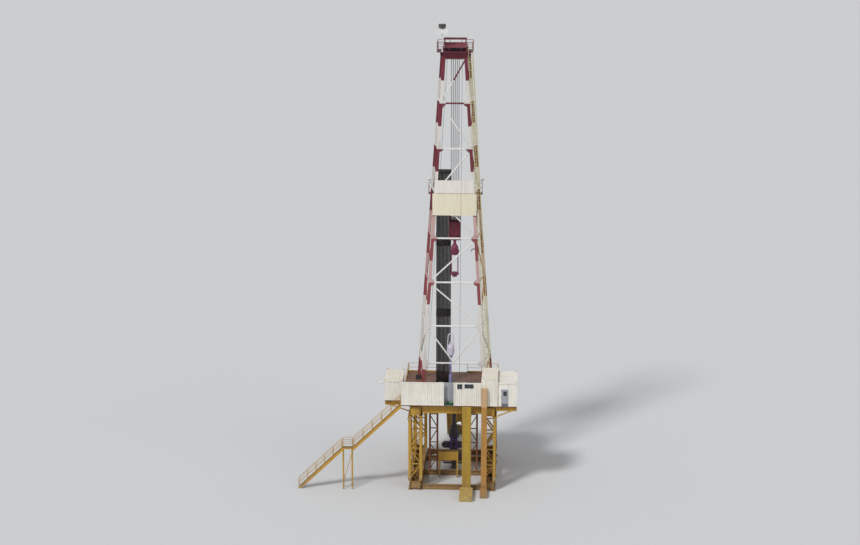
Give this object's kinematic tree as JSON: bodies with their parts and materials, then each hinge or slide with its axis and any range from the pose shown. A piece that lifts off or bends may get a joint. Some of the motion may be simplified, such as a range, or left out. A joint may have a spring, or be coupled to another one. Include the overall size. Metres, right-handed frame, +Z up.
{
  "type": "land drilling rig, scale model at 1:2",
  "caption": "Land drilling rig at half size: open braced mast on a drill floor and box substructure, with crown, travelling block, racked pipe, cabins, stair and pipe ramp.",
  "frame": {"origin": "centre of the well at ground level, on the lower face of the bottom flange of the blowout preventer stack", "axes": "+Z up, +Y toward the front with the pipe ramp, +X to the right seen from behind the drawworks"},
  "size_m": [12.8306, 12.1853, 26.9],
  "materials": {
    "ochre_paint": "weathered ochre-yellow paint on steel",
    "brown_paint": "orange-brown primer paint with rust",
    "dark_steel": "oily dark steel and castings",
    "deck_plate": "worn brown deck plate",
    "cream_sheet": "off-white painted ribbed sheet",
    "grey_paint": "grey machine paint",
    "window_glass": "dark window glass",
    "wire_rope": "greased wire rope",
    "banded_paint": "red and white bands of gloss paint",
    "white_paint": "white gloss paint",
    "red_paint": "dark red paint",
    "pipe_steel": "black steel pipe",
    "blue_paint": "light blue machine paint",
    "green_paint": "weathered green paint on steel"
  },
  "bodies": {
    "rig": {"base_boxes": "ochre_paint", "base_cross_beams": "ochre_paint", "rear_leg_towers": "ochre_paint", "front_leg_towers": "ochre_paint", "side_braces": "ochre_paint", "floor_boxes": "ochre_paint", "floor_beams": "ochre_paint", "inner_frames": "brown_paint", "bop_stack": "dark_steel", "bell_nipple": "dark_steel", "bop_work_stand": "ochre_paint", "cable_trough": "ochre_paint", "pipe_chase": "ochre_paint", "side_outriggers": "ochre_paint", "drill_floor": "deck_plate", "rotary_table": "dark_steel", "rear_wall_left": "cream_sheet", "rear_wall_right": "cream_sheet", "recess_panel": "grey_paint", "wall_windows": "window_glass", "side_canopy": "cream_sheet", "floor_handrails": "ochre_paint", "air_winch": "green_paint", "upper_stair": "ochre_paint", "lower_stair": "ochre_paint", "stair_landing": "ochre_paint", "v_door_ramp": "ochre_paint", "drawworks": "grey_paint", "drawworks_drum": "wire_rope", "left_cabin_walls": "cream_sheet", "left_cabin_roof": "cream_sheet", "left_cabin_floor": "deck_plate", "left_cabin_door": "grey_paint", "doghouse_walls": "cream_sheet", "doghouse_roof": "cream_sheet", "doghouse_floor": "deck_plate", "mast_shoes": "dark_steel", "mast_left_side": "banded_paint", "mast_right_side": "banded_paint", "mast_rear_bracing": "white_paint", "crown_frame": "red_paint", "crown_sheaves": "dark_steel", "crown_platform": "red_paint", "sheave_guard": "red_paint", "crown_lamp_box": "white_paint", "racking_board": "brown_paint", "shelter_panel": "cream_sheet", "drill_pipe": "pipe_steel", "mast_ladder": "white_paint", "standpipe": "grey_paint", "swivel": "blue_paint", "drilling_lines": "wire_rope", "fast_and_dead_lines": "wire_rope"},
    "block": {"travelling_block": "red_paint", "hook": "red_paint"},
    "door": {"doghouse_door": "grey_paint"}
  },
  "joints": [
    {"name": "block_hoist", "type": "slide", "parent": "rig", "child": "block", "axis": [0, 0, 1], "range_m": [-6, 8.4], "deforming": ["drilling_lines"]},
    {"name": "doghouse_door_swing", "type": "hinge", "parent": "rig", "child": "door", "pos_m": [2.86, -3.968, 5.8], "axis": [0, 0, 1], "range_deg": [-100, 0]}
  ]
}
